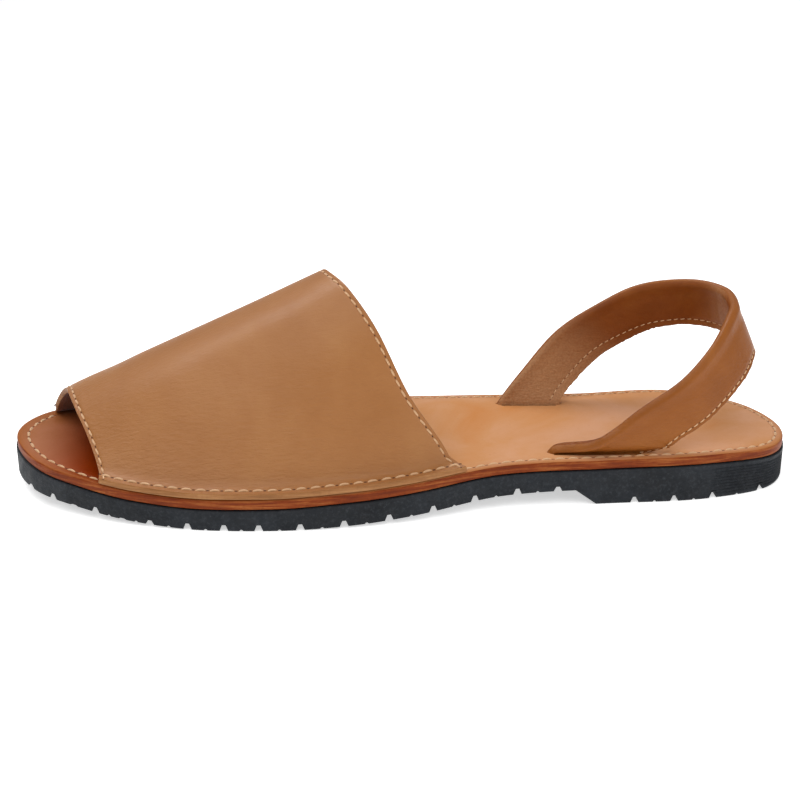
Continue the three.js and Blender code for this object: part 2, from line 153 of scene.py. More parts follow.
# Seams: distance from the edge, distance between needle holes, thread length and radius
SEAMS = {
    "welt": {"inset": 3.1, "pitch": 4.5, "thread": 3.6, "radius": 0.46},
    "vamp": {"inset": 1.5, "pitch": 3.8, "thread": 2.9, "radius": 0.31},
    "strap_outer": {"inset": 1.3, "pitch": 2.6, "thread": 2.0, "radius": 0.24},
    "strap_inner": {"inset": 2.3, "pitch": 2.4, "thread": 1.8, "radius": 0.19},
}
CHANNEL_DEPTH = 0.22
WELT_CHANNEL = 0.45
VAMP_CHANNEL = 0.55
TOE_INSET = 1.2
TOE_INSET_FADE = (6, 34)
SLIT_INSET = 1.4
SLIT_INSET_FADE = (2, 5)
VAMP_LINE_ENDS = (0.012, 0.988)
STITCH_SLANT = 0.09
SLANT_SPREAD = 0.035
LENGTH_SPREAD = 0.04

# How finely the surfaces are divided
SOLE_STATIONS = 170
STATION_ROOM = 0.25
INSOLE_ACROSS = 26
VAMP_ROWS = 64
VAMP_COLUMNS = 150
STRAP_STEPS = 12
FOOT_STEPS = 3
OUTLINE_SAMPLES = 1440
FLANGE_SAMPLES = 60
VAMP_LINE_SAMPLES = 500


def table(names, *rows):
    return dict(zip(names.split(), np.array(rows, float).T))


# Outline: shares of the length, and of the ball width or the heel width
FOREPART = table(
    "along outer inner",
    (0.032, 0.199, 0.276),
    (0.113, 0.362, 0.416),
    (0.223, 0.469, 0.49),
    (0.362, 0.506, 0.489),
    (0.492, 0.469, 0.423),
)
BACKPART = table(
    "along outer inner",
    (0.611, 0.547, 0.515),
    (0.741, 0.527, 0.476),
    (0.88, 0.5, 0.482),
    (0.972, 0.356, 0.265),
)
TOE_TIP = 0.025
HEEL_TIP = -0.078

# Lift of the underside as shares of the toe spring and of the heel lift, and the rubber
PROFILE = table(
    "along toe heel rubber",
    (0, 0.575, 0, 1.353),
    (0.074, 0.425, 0, 1.05),
    (0.163, 0.14, 0, 1),
    (0.253, 0, 0, 1),
    (0.333, 0, 0, 1.03),
    (0.422, 0, 0.115, 1.11),
    (0.522, 0, 0.46, 1.1),
    (0.621, 0, 0.85, 1.05),
    (0.721, 0, 1, 1),
    (0.861, 0, 1, 1.04),
    (1, 0, 1, 0.84),
)
GROOVES = table(
    "along depth",
    (0.026, 0.6),
    (0.058, 0.9),
    (0.086, 0.2),
    (0.114, 0.9),
    (0.148, 0.2),
    (0.182, 0.7),
    (0.228, 1),
    (0.272, 1),
    (0.314, 1),
    (0.364, 1),
    (0.417, 1),
    (0.472, 1),
    (0.527, 1),
    (0.58, 1),
    (0.634, 1),
    (0.685, 0.8),
    (0.783, 1),
    (0.834, 1),
    (0.885, 1),
    (0.952, 0.9),
)
VAMP_SECTIONS = table(
    "along across rise outer inner wall crown",
    (0.027, 0.078, 0.239, 30, 50, 0.3, 0.4),
    (0.079, 0.072, 0.352, 36, 58, 0.32, 0.4),
    (0.2, 0.067, 0.59, 50, 68, 0.345, 0.37),
    (0.314, 0.061, 0.815, 58, 74, 0.365, 0.35),
    (0.404, 0.056, 0.998, 62, 77, 0.38, 0.33),
    (0.578, 0.044, 1.334, 66, 80, 0.4, 0.31),
)
VAMP_EDGES = table(
    "over front back",
    (0, 0, -0.03),
    (0.06, 0.01, 0.005),
    (0.1, 0.07, 0.085),
    (0.2, 0.24, 0.39),
    (0.3, 0.415, 0.594),
    (0.4, 0.55, 0.793),
    (0.5, 0.66, 0.95),
    (0.58, 0.735, 1),
    (0.7, 0.84, 0.86),
    (0.8, 0.92, 0.67),
    (0.9, 0.98, 0.42),
    (0.94, 1, 0.36),
    (1, 1, 0.34),
)
STRAP_PATH = table(
    "along across up lay cant width",
    (0, 0.341, 0.015, 0, -6, 1.244),
    (0.1, 0.397, 0.223, 15, 0, 1.08),
    (0.26, 0.458, 0.5, 34, 0, 1.03),
    (0.45, 0.5, 0.685, 50, 3, 1),
    (0.622, 0.486, 0.826, 71, 6, 1),
    (0.838, 0.429, 0.889, 89, 14, 1),
    (0.98, 0.25, 0.901, 88, 15, 1),
    (0.988, 0.012, 0.882, 74, 7, 1),
    (0.947, -0.145, 0.842, 59, 0, 1),
    (0.842, -0.324, 0.689, 48, -8, 1),
    (0.68, -0.445, 0.459, 54, -8, 1),
    (0.514, -0.484, 0.277, 48, -8, 1),
    (0.431, -0.482, 0.16, 22, -8, 1.13),
    (0.372, -0.482, 0.095, 8, -7, 1.44),
    (0.228, -0.43, 0.02, -1, 4, 1.776),
)


# Curves
def smooth_value(rows, key, value, at):
    """A smooth curve through the rows of a table that never overshoots them."""
    x, y = rows[key], rows[value]
    secant = np.diff(y) / np.diff(x)
    product = secant[:-1] * secant[1:]
    total = np.where(product > 0, secant[:-1] + secant[1:], 1)
    inner = np.where(product > 0, 2 * product / total, 0)
    tangent = np.concatenate([secant[:1], inner, secant[-1:]])
    at = np.clip(at, x[0], x[-1])
    i = np.clip(np.searchsorted(x, at) - 1, 0, len(x) - 2)
    step = x[i + 1] - x[i]
    w = (at - x[i]) / step
    rise = y[i + 1] - y[i]
    start, end = tangent[i] * step, tangent[i + 1] * step
    return y[i] + w * (start + w * (3 * rise - 2 * start - end + w * (start + end - 2 * rise)))


def smoothstep(at, low, high):
    w = np.clip((at - low) / (high - low), 0, 1)
    return w * w * (3 - 2 * w)


def bell(at, middle, width):
    return np.exp(-(((at - middle) / width) ** 2))


def unit(vectors):
    return vectors / np.linalg.norm(vectors, axis=-1, keepdims=True)


def share_of(x):
    return x / SOLE_LENGTH + 0.5


def place_of(share):
    return (share - 0.5) * SOLE_LENGTH


def outline():
    """The closed outline from the toe along the outer side, with its outward normals."""
    sides = [
        np.column_stack([place_of(rows["along"]), -rows["outer"] * size, rows["inner"] * size])
        for rows, size in ((FOREPART, BALL_WIDTH), (BACKPART, HEEL_WIDTH))
    ]
    sides = np.concatenate(sides)
    corners = np.concatenate(
        [
            [[place_of(0), TOE_TIP * BALL_WIDTH]],
            sides[:, [0, 1]],
            [[place_of(1), HEEL_TIP * HEEL_WIDTH]],
            sides[::-1, [0, 2]],
        ]
    )
    size = len(corners)
    at = np.arange(OUTLINE_SAMPLES) * size / OUTLINE_SAMPLES
    i = at.astype(int)
    w = (at - i)[:, None]
    p0, p1, p2, p3 = (corners[(i + d) % size] for d in (-1, 0, 1, 2))
    d0, d1, d2 = (
        np.sqrt(np.linalg.norm(b - a, axis=1))[:, None] for a, b in ((p0, p1), (p1, p2), (p2, p3))
    )
    t1 = ((p1 - p0) / d0 - (p2 - p0) / (d0 + d1) + (p2 - p1) / d1) * d1
    t2 = ((p2 - p1) / d1 - (p3 - p1) / (d1 + d2) + (p3 - p2) / d2) * d1
    curve = p1 + w * (t1 + w * (3 * (p2 - p1) - 2 * t1 - t2 + w * (2 * (p1 - p2) + t1 + t2)))
    tangent = unit(np.roll(curve, -1, 0) - np.roll(curve, 1, 0))
    return curve, np.column_stack([tangent[:, 1], -tangent[:, 0]])


OUTLINE, OUTLINE_NORMAL = outline()


def branches():
    toe, heel = OUTLINE[:, 0].argmin(), OUTLINE[:, 0].argmax()
    rows = np.column_stack([OUTLINE, OUTLINE_NORMAL])
    out = {}
    for side, step in (("outer", 1), ("inner", -1)):
        count = (heel - toe) * step % OUTLINE_SAMPLES
        out[side] = rows[(toe + step * np.arange(count + 1)) % OUTLINE_SAMPLES]
    return out


BRANCHES = branches()
TOE_X, HEEL_X = BRANCHES["outer"][[0, -1], 0]


def edge_at(side, x, outward):
    """The outline at a place along the sole, moved outward along its normal."""
    branch = BRANCHES[side]
    at = np.clip(x, TOE_X, HEEL_X)
    y, nx, ny = (np.interp(at, branch[:, 0], branch[:, k]) for k in (1, 2, 3))
    size = np.hypot(nx, ny)
    return at + outward * nx / size, y + outward * ny / size


def lift_at(x):
    toe = smooth_value(PROFILE, "along", "toe", share_of(x))
    return TOE_SPRING * toe + HEEL_LIFT * smooth_value(PROFILE, "along", "heel", share_of(x))


def rubber_top(x):
    return lift_at(x) + RUBBER_THICKNESS * smooth_value(PROFILE, "along", "rubber", share_of(x))


def insole_bottom(x):
    return rubber_top(x) + SEAT_GAP


def insole_top(x):
    return insole_bottom(x) + INSOLE_THICKNESS


BREAST_FOOT = SOLE_LENGTH / 2 - HEEL_BLOCK_LENGTH + BREAST_RUN
BREAST_TOP = BREAST_FOOT - BREAST_RUN
BEVEL_START = SOLE_LENGTH / 2 - RIB_REACH / 2


def rubber_bottom(x):
    breast = lift_at(BREAST_TOP) * (BREAST_FOOT - x) / BREAST_RUN
    back = np.maximum(0, (x - BEVEL_START) / (SOLE_LENGTH / 2 - BEVEL_START))
    heel = np.where(x < BREAST_FOOT, breast, HEEL_BEVEL * back**2)
    return np.where(x <= BREAST_TOP, lift_at(x), heel)


# Meshes
box_low, box_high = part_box("outsole")
OWN_MIDDLE = (OUTLINE.min(axis=0) + OUTLINE.max(axis=0)) / 2
SHIFT = np.array(
    [
        (box_low.x + box_high.x) * 500 - OWN_MIDDLE[0],
        (box_low.y + box_high.y) * 500 - OWN_MIDDLE[1],
        box_low.z * 1000,
    ]
)
MERGE = 2e-6


def piece(name, points, faces, looks, slot, node=None, chosen=None, marks=None, sharp=38):
    """A mesh piece that rides on the body, with a look per face and marks per point."""
    mesh = bpy.data.meshes.new(name)
    mesh.from_pydata(((points + SHIFT) / 1000).tolist(), [], faces)
    for look in looks:
        mesh.materials.append(look)
    if chosen is not None:
        mesh.polygons.foreach_set("material_index", np.asarray(chosen, np.int32))
    for key, values in (marks or {}).items():
        mesh.attributes.new(key, "FLOAT", "POINT").data.foreach_set("value", values)
    work = bmesh.new()
    work.from_mesh(mesh)
    bmesh.ops.remove_doubles(work, verts=work.verts, dist=MERGE)
    bmesh.ops.dissolve_degenerate(work, edges=work.edges, dist=MERGE)
    bmesh.ops.recalc_face_normals(work, faces=work.faces)
    work.to_mesh(mesh)
    work.free()
    mesh.shade_smooth()
    mesh.set_sharp_from_angle(angle=math.radians(sharp))
    thing = bpy.data.objects.new(name, mesh)
    bpy.context.scene.collection.objects.link(thing)
    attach(thing, "root")
    if node:
        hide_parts(node)
    return thing


def ring_faces(count, size):
    """Quads between neighbouring closed rings, ring by ring."""
    i, j = np.meshgrid(np.arange(count - 1), np.arange(size), indexing="ij")
    a, b = i * size + j, i * size + (j + 1) % size
    return np.stack([a, b, b + size, a + size], -1).reshape(-1, 4).tolist()


def stations(breaks):
    turn = np.linspace(0, np.pi, SOLE_STATIONS + 1)
    even = TOE_X + (HEEL_X - TOE_X) * (1 - np.cos(turn)) / 2
    breaks = np.asarray(breaks, float)
    if len(breaks):
        even = even[np.abs(even[:, None] - breaks).min(axis=1) > STATION_ROOM]
    return np.sort(np.concatenate([even, breaks]))


def ring_points(x, outward, height):
    """Rings of the sole: up the inner side by the levels, then down the outer side."""
    sides = []
    for side in ("inner", "outer"):
        px, py = edge_at(side, x[:, None], outward)
        sides.append(np.stack([px, py, np.broadcast_to(height, px.shape)], -1))
    return np.concatenate([sides[0], sides[1][:, ::-1]], axis=1)


# Looks
def tone(red, green, blue):
    channels = np.array([red, green, blue]) / 255
    linear = np.where(channels <= 0.04045, channels / 12.92, ((channels + 0.055) / 1.055) ** 2.4)
    return (*linear, 1)


def socket(key):
    return key.replace("_", " ").title().replace("Ior", "IOR")


class Look:
    """A material under construction, with short calls for its nodes."""

    def __init__(self, name, **sockets):
        self.material = bpy.data.materials.new(name)
        self.material.use_nodes = True
        self.tree = self.material.node_tree
        self.shader = self.tree.nodes["Principled BSDF"]
        self.place = self.node("TexCoord").outputs["Object"]
        for key, value in sockets.items():
            self.shader.inputs[socket(key)].default_value = value

    def node(self, kind, links=(), **values):
        made = self.tree.nodes.new("ShaderNode" + kind)
        for key, value in values.items():
            if hasattr(made, key):
                setattr(made, key, value)
            else:
                made.inputs[key].default_value = value
        for key, source in dict(links).items():
            self.tree.links.new(source, made.inputs[key])
        return made

    def stretch(self, x, y, z):
        return self.node("Mapping", {"Vector": self.place}, Scale=(x, y, z)).outputs[0]

    def noise(self, scale, detail=3, rough=0.55, at=None, distort=0):
        made = self.node(
            "TexNoise",
            {"Vector": at or self.place},
            Scale=scale,
            Detail=detail,
            Roughness=rough,
            Distortion=distort,
        )
        return made.outputs["Fac"]

    def cells(self, scale):
        made = self.node("TexVoronoi", {"Vector": self.place}, feature="F1", Scale=scale)
        return made.outputs["Distance"]

    def spread(self, value, low, high, to_low=0, to_high=1):
        ends = {"From Min": low, "From Max": high, "To Min": to_low, "To Max": to_high}
        return self.node("MapRange", {"Value": value}, **ends).outputs["Result"]

    def ramp(self, value, *stops):
        made = self.node("ValToRGB", {"Fac": value})
        elements = made.color_ramp.elements
        while len(elements) < len(stops):
            elements.new(0.5)
        for element, (at, colour) in zip(elements, stops):
            element.position, element.color = at, colour
        return made.outputs["Color"]

    def mix(self, share, first, second):
        made = self.node("Mix", data_type="RGBA", blend_type="MIX")
        for place, value in ((0, share), (6, first), (7, second)):
            if isinstance(value, bpy.types.NodeSocket):
                self.tree.links.new(value, made.inputs[place])
            else:
                made.inputs[place].default_value = value
        return made.outputs[2]

    def mark(self, name):
        return self.node("Attribute", attribute_name=name).outputs["Fac"]

    def bump(self, *layers):
        normal = None
        for height, distance, strength in layers:
            links = {"Height": height}
            if normal:
                links["Normal"] = normal
            made = self.node("Bump", links, Distance=distance, Strength=strength)
            normal = made.outputs["Normal"]
        self.tree.links.new(normal, self.shader.inputs["Normal"])

    def set(self, **sources):
        for key, source in sources.items():
            self.tree.links.new(source, self.shader.inputs[socket(key)])
        return self.material


def grain_leather(name, dark, base, light, rim, grain=1.0, shine=0.28, coat=0.1, pale=None):
    """Smooth dyed leather: mottled colour, fine pores, faint drawn lines, a rim tone along the
    edges.
    """
    look = Look(name, specular_ior_level=shine, coat_weight=coat, coat_roughness=0.3)
    drawn = look.stretch(1, 3.6, 3.6)
    mottle = look.noise(34, 5, 0.6, distort=0.4)
    colour = look.ramp(mottle, (0.3, dark), (0.5, base), (0.72, light))
    veins = look.spread(look.noise(260, 4, 0.6, at=drawn), 0.35, 0.7)
    colour = look.mix(look.spread(veins, 0, 1, 0.0, 0.16), colour, dark)
    pores = look.spread(look.cells(1500 * grain), 0.0, 0.55)
    specks = look.spread(look.noise(1150, 2, 0.5), 0.62, 0.75, 0, 0.22)
    colour = look.mix(specks, colour, dark)
    colour = look.mix(look.spread(look.mark("rim"), 0, 1, 0, 0.75), colour, rim)
    if pale:
        grey = look.mix(look.spread(look.noise(1300, 4, 0.7), 0.35, 0.75, 0.05, 0.5), pale, dark)
        colour = look.mix(look.mark("pale"), colour, grey)
    rough = look.spread(look.noise(90, 4, 0.6), 0.3, 0.7, 0.38, 0.54)
    height = look.node("SeparateXYZ", {"Vector": look.place}).outputs["Z"]
    low = look.spread(height, 0.022, 0.05, 1, 0.25)
    lines = look.node("Math", ((0, veins), (1, low)), operation="MULTIPLY").outputs[0]
    look.bump(
        (lines, 0.00032, 0.5),
        (pores, 0.00007, 0.3),
        (look.noise(2600, 3, 0.6), 0.00005, 0.25),
    )
    return look.set(base_color=colour, roughness=rough)


def cut_edge(name, dark, base, light):
    """The burnished cut edge of leather, with layers that run along it."""
    look = Look(name, roughness=0.5, specular_ior_level=0.15)
    layers = look.noise(900, 4, 0.7, at=look.stretch(0.06, 0.06, 1))
    fibres = look.noise(700, 4, 0.7)
    colour = look.ramp(layers, (0.3, dark), (0.5, base), (0.68, light))
    colour = look.mix(look.spread(fibres, 0.45, 0.75, 0, 0.4), colour, dark)
    look.bump((layers, 0.0002, 0.5), (fibres, 0.00015, 0.5))
    return look.set(base_color=colour)


def flesh_leather(name, dark, base, light):
    """The napped flesh side of leather."""
    look = Look(name, roughness=0.85, sheen_weight=0.25, sheen_roughness=0.5)
    fuzz = look.noise(1700, 5, 0.75)
    colour = look.ramp(look.noise(60, 5, 0.65), (0.3, dark), (0.5, base), (0.7, light))
    colour = look.mix(look.spread(fuzz, 0.4, 0.75, 0, 0.45), colour, dark)
    look.bump((fuzz, 0.00025, 0.6))
    return look.set(base_color=colour)


def moulded_rubber(name):
    look = Look(name, specular_ior_level=0.25)
    cloud = look.noise(55, 5, 0.65)
    colour = look.ramp(
        cloud, (0.3, tone(13, 16, 20)), (0.52, tone(22, 26, 31)), (0.75, tone(32, 37, 43))
    )
    dust = look.spread(look.noise(800, 4, 0.75), 0.5, 0.75, 0, 0.5)
    colour = look.mix(dust, colour, tone(60, 64, 69))
    rough = look.spread(look.noise(240, 4, 0.6), 0.3, 0.7, 0.52, 0.74)
    look.bump(
        (look.noise(1100, 4, 0.75), 0.0003, 0.6),
        (look.noise(330, 3, 0.6, at=look.stretch(0.5, 0.5, 2)), 0.0004, 0.4),
    )
    return look.set(base_color=colour, roughness=rough)


def sewing_thread(name, dark, light):
    look = Look(name, roughness=0.6, sheen_weight=0.3)
    strands = look.node("TexWave", {"Vector": look.place}, Scale=900, Distortion=3)
    colour = look.ramp(strands.outputs["Fac"], (0.2, dark), (0.8, light))
    look.bump((strands.outputs["Fac"], 0.00012, 0.5))
    return look.set(base_color=colour)


def plain_dark(name, colour):
    look = Look(name, roughness=0.85)
    shade = look.mix(look.noise(900, 3), colour, tone(70, 38, 20))
    return look.set(base_color=shade)


RUBBER = moulded_rubber("charcoal_rubber")
# The vamp leather's rim tone is darker than its base; along the flanges' foot on the insole it
# paints shade
VAMP_GRAIN = grain_leather(
    "tan_vamp_leather", tone(150, 97, 50), tone(156, 103, 56), tone(162, 110, 62), tone(150, 96, 52)
)
STRAP_GRAIN = grain_leather(
    "tan_strap_leather",
    tone(128, 70, 20),
    tone(138, 78, 26),
    tone(149, 89, 34),
    tone(134, 80, 38),
    shine=0.18,
    coat=0.05,
)
# The strap's inner face: the same leather as the outer face in darker tones, which paint its shade,
# with pale worn places
STRAP_INNER_SHADE_AND_WEAR = grain_leather(
    "strap_inner_face_shade_and_wear",
    tone(108, 52, 10),
    tone(124, 63, 16),
    tone(138, 78, 26),
    tone(140, 88, 48),
    grain=0.8,
    shine=0.16,
    coat=0,
    pale=tone(190, 142, 100),
)
EDGE = cut_edge("burnished_edge", tone(86, 28, 3), tone(124, 52, 10), tone(158, 90, 40))
VAMP_EDGE = cut_edge("vamp_cut_edge", tone(124, 82, 46), tone(148, 101, 60), tone(168, 121, 78))
FLESH = flesh_leather("vamp_flesh_side", tone(104, 54, 24), tone(128, 72, 36), tone(146, 90, 50))
RAW = flesh_leather("raw_edge", tone(116, 74, 46), tone(146, 98, 62), tone(176, 132, 94))
THREAD = sewing_thread("cream_thread", tone(188, 142, 98), tone(218, 178, 134))
# Needle holes are not cut: dark discs on the surface paint the shade inside them
HOLE_SHADE = plain_dark("needle_hole_shade", tone(88, 50, 28))


def insole_look():
    """Polished insole leather, deeper in colour towards the toe, with painted shade under the vamp.
    """
    look = Look("insole_leather", specular_ior_level=0.05)
    mottle = look.noise(24, 5, 0.6, distort=0.6)
    colour = look.ramp(
        mottle, (0.32, tone(189, 124, 69)), (0.5, tone(193, 137, 91)), (0.68, tone(198, 147, 112))
    )
    # Toe colour: partly the leather's deeper dye, partly painted shade under the vamp
    toe = look.ramp(mottle, (0.3, tone(90, 16, 0)), (0.7, tone(128, 44, 0)))
    colour = look.mix(look.mark("toe"), colour, toe)
    colour = look.mix(look.mark("rim"), colour, tone(148, 82, 32))
    specks = look.spread(look.noise(1000, 2), 0.64, 0.78, 0, 0.2)
    colour = look.mix(specks, colour, tone(150, 86, 44))
    rough = look.spread(look.noise(70, 4, 0.6), 0.3, 0.7, 0.32, 0.48)
    look.bump(
        (look.noise(220, 4, 0.6), 0.00018, 0.3),
        (look.spread(look.cells(1300), 0, 0.55), 0.00006, 0.3),
    )
    return look.set(base_color=colour, roughness=rough)


INSOLE = insole_look()


# Rubber sole
def tread_cuts():
    """Grooves and the nicks halfway between them: place, depth, mouth and floor."""
    grooves = place_of(GROOVES["along"])
    depths = GROOVE_DEPTH * GROOVES["depth"]
    cuts = [(x, depth, GROOVE_MOUTH, GROOVE_FLOOR) for x, depth in zip(grooves, depths)]
    for before, after in zip(grooves[:-1], grooves[1:]):
        middle = (before + after) / 2
        if after - before > NICK_ROOM and abs(middle - BREAST_FOOT) > BREAST_RUN:
            cuts.append((middle, NICK_DEPTH, NICK_MOUTH, NICK_FLOOR))
    return cuts


CUTS = tread_cuts()


def cut_at(x):
    depth = np.zeros_like(x)
    for middle, deep, mouth, floor in CUTS:
        w = np.clip((mouth / 2 - np.abs(x - middle)) / ((mouth - floor) / 2), 0, 1)
        depth = np.maximum(depth, deep * w)
    return depth


def build_outsole():
    breaks = [BREAST_TOP, BREAST_FOOT]
    for middle, _, mouth, floor in CUTS:
        breaks += [middle - mouth / 2, middle - floor / 2, middle + floor / 2, middle + mouth / 2]
    breaks = [x for x in breaks if TOE_X + CUT_MARGIN < x < HEEL_X - CUT_MARGIN]
    x = stations(breaks)
    plain, top = rubber_bottom(x), rubber_top(x)
    bottom = plain + cut_at(x)
    fade = smoothstep(x, HEEL_X - RIB_REACH, HEEL_X - RIB_REACH * RIB_FADE)
    turns = np.radians([0, 30, 60, 90])
    outward = [np.full_like(x, -EDGE_CHAMFER * (1 - math.sin(t))) for t in turns]
    height = [bottom + EDGE_CHAMFER * (1 - math.cos(t)) for t in turns]
    low, high = plain + RIB_START, top - RIB_END
    steps = RIB_COUNT * 4
    for i in range(steps + 1):
        wave = 0.5 - 0.5 * math.cos(2 * math.pi * i / 4)
        outward.append(-RIB_DEPTH * fade * wave)
        lowest = bottom + EDGE_CHAMFER + LEAST_STEP_UP * (i + 1)
        height.append(np.maximum(low + (high - low) * i / steps, lowest))
    for t in turns[1:]:
        outward.append(np.full_like(x, -RUBBER_ROUNDING * (1 - math.cos(t))))
        height.append(top - RUBBER_ROUNDING * (1 - math.sin(t)))
    rings = ring_points(x, np.stack(outward, 1), np.stack(height, 1))
    faces = ring_faces(len(x), rings.shape[1])
    points = rings.reshape(-1, 3)
    return piece("outsole_rubber", points, faces, [RUBBER], "rubber", "outsole", sharp=30)


# Strap
def strap_knots():
    rows = STRAP_PATH
    x = STRAP_START - SOLE_LENGTH / 2 + rows["along"] * STRAP_DEPTH
    knots = np.column_stack(
        [
            x,
            rows["across"] * STRAP_SPREAD,
            insole_top(x) + rows["up"] * STRAP_RISE,
            np.radians(rows["lay"]),
            np.radians(rows["cant"]),
            rows["width"] * STRAP_WIDTH,
        ]
    )

    def foot(knot):
        ends = knot[0] + np.array([-0.5, 0.5]) * knot[5]
        low = insole_bottom(ends).max() + SEAT_GAP / 2
        return np.array([knot[0], knot[1], low, 0, knot[4], knot[5]])

    return np.vstack([foot(knots[0]), knots, foot(knots[-1])])


KNOTS = strap_knots()


def strap_places():
    padded = np.vstack([2 * KNOTS[0] - KNOTS[1], KNOTS, 2 * KNOTS[-1] - KNOTS[-2]])
    out = []
    for i in range(len(KNOTS) - 1):
        p0, p1, p2, p3 = padded[i : i + 4]
        steps = FOOT_STEPS if i in (0, len(KNOTS) - 2) else STRAP_STEPS
        for w in np.arange(steps) / steps:
            square = 2 * p0 - 5 * p1 + 4 * p2 - p3
            cube = 3 * p1 - p0 - 3 * p2 + p3
            out.append((2 * p1 + (p2 - p0) * w + square * w * w + cube * w**3) / 2)
    return np.array(out + [KNOTS[-1]])


def strap_frames(places):
    """Directions of the band's width, towards the fold, and of its thickness, outward."""
    path = np.gradient(places[:, :3], axis=0)
    lay, cant = places[:, 3], places[:, 4]
    lying = np.column_stack([-np.cos(lay), np.zeros_like(lay), np.sin(lay)])
    outward = unit(np.cross(lying, path))
    wide = lying * np.cos(cant)[:, None] - outward * np.sin(cant)[:, None]
    return wide, unit(np.cross(wide, path))


def strap_half_thickness(up, width, inset):
    """Half the band's thickness at a height over its raw lower edge."""
    half = STRAP_THICKNESS / 2
    reach = FOLD_REACH * half
    fold = np.clip((up - (width - reach)) / reach, 0, 1)
    bulge = STRAP_BULGE * np.sin(np.clip(up / width, 0, 1) * np.pi)
    body = half * (STRAP_EDGE_SHARE + bulge)
    for form in (BEAD, CREASE):
        body = body + form["swell"] * bell(up, width - form["below_fold"], form["width"])
    body = body + PINCH["swell"] * bell(up, inset, PINCH["width"])
    return body * np.sqrt(np.maximum(0, 1 - fold**2))


def strap_inset(seam_key, run):
    """The seam inside the strap lies farther from the raw edge near the far slit."""
    extra = 0 * run
    if seam_key == "strap_inner":
        extra = SLIT_INSET * (1 - smoothstep(run, *SLIT_INSET_FADE))
    return SEAMS[seam_key]["inset"] + extra


# Levels across the band: over the raw edge, as shares of the width, and under the fold
EDGE_LEVELS = np.array([0, 0.25, 0.6, 0.95, 1.3, 1.65, 2.0, 2.35, 2.8, 3.3, 3.75])
BODY_LEVELS = np.linspace(0.24, 0.6, 6)
BEAD_LEVELS = np.array([6.4, 5.8, 5.2, 4.6, 4.0, 3.4, 2.8, 2.3])
FOLD_LEVELS = FOLD_DEPTH * (1 - np.sin(np.linspace(0, np.pi / 2, 10)))[:-1]


def strap_loop(i, width, insets, draw):
    """The section at place i: up the outer face, over the fold, down and along the raw edge."""
    ups = [EDGE_LEVELS, BODY_LEVELS * width, width - BEAD_LEVELS, width - FOLD_LEVELS]
    ups = np.concatenate(ups)
    faces = []
    for sign, inset in zip((1, -1), insets):
        half = strap_half_thickness(ups, width, inset)
        half[0] *= STRAP_EDGE_THINNING
        faces.append(np.column_stack([ups, sign * half]))
    apart = PLIES["apart"]
    inner, outer = PLIES["inner"] + draw[0], PLIES["outer"] + draw[1]
    plies = [[inner, -apart], [PLIES["furrow"], 0], [outer, apart]]
    loop = np.vstack([faces[0], [[width, 0]], faces[1][::-1], plies])
    loop[0, 0] += draw[2]
    loop[len(loop) - len(plies) - 1, 0] += draw[3]
    bend = bell(i / STRAP_STEPS, HEEL_BEND["place"], HEEL_BEND["width"])
    ripple = HEEL_BEND["ripple"] * bend * math.sin(i * HEEL_BEND["turn"])
    inside = loop[:, 1] < -1
    loop[inside, 1] += ripple * np.sin(loop[inside, 0] / width * math.pi)
    return loop


def build_strap():
    places = strap_places()
    wide, thick = strap_frames(places)
    run = np.arange(len(places)) / STRAP_STEPS
    insets = np.stack([strap_inset(key, run) for key in ("strap_outer", "strap_inner")], 1)
    # Six draws for each place, four of which are used
    draws = np.random.default_rng(11).normal(0, RAW_UNEVENNESS, (len(places), 6))
    rings = []
    for i, place in enumerate(places):
        loop = strap_loop(i, place[5], insets[i], draws[i])
        across = loop[:, :1] - place[5] / 2
        rings.append(place[:3] + across * wide[i] + loop[:, 1:] * thick[i])
    size = len(rings[0])
    outer = len(EDGE_LEVELS) + len(BODY_LEVELS) + len(BEAD_LEVELS) + len(FOLD_LEVELS)
    faces = ring_faces(len(rings), size)
    looks = np.zeros((len(rings) - 1, size), int)
    # The inner face takes the darker copy of the strap leather, painted shade
    looks[:, outer + 3 : 2 * outer] = 1
    looks[:, 2 * outer :] = 2
    last = (len(rings) - 1) * size
    faces += [list(range(size))[::-1], list(range(last, last + size))]
    chosen = np.concatenate([looks.ravel(), [2, 2]])
    beyond = np.full(outer - len(EDGE_LEVELS), 9.0)
    fade = np.exp(-np.concatenate([EDGE_LEVELS, beyond]) / STRAP_RIM_FADE)
    rim = np.concatenate([fade, [0], fade[::-1], [1, 1, 1]])
    foot, bend = WORN_FOOT, WORN_BEND
    worn = foot["share"] * (1 - smoothstep(run, foot["start"], foot["end"]))
    worn = worn + bend["share"] * bell(run, bend["place"], bend["width"])
    marks = {"rim": np.tile(rim, len(rings)), "pale": np.repeat(worn, size)}
    return piece(
        "strap_leather",
        np.concatenate(rings),
        faces,
        [STRAP_GRAIN, STRAP_INNER_SHADE_AND_WEAR, RAW],
        "strap_leather",
        "heel_strap",
        chosen,
        marks,
        sharp=50,
    )


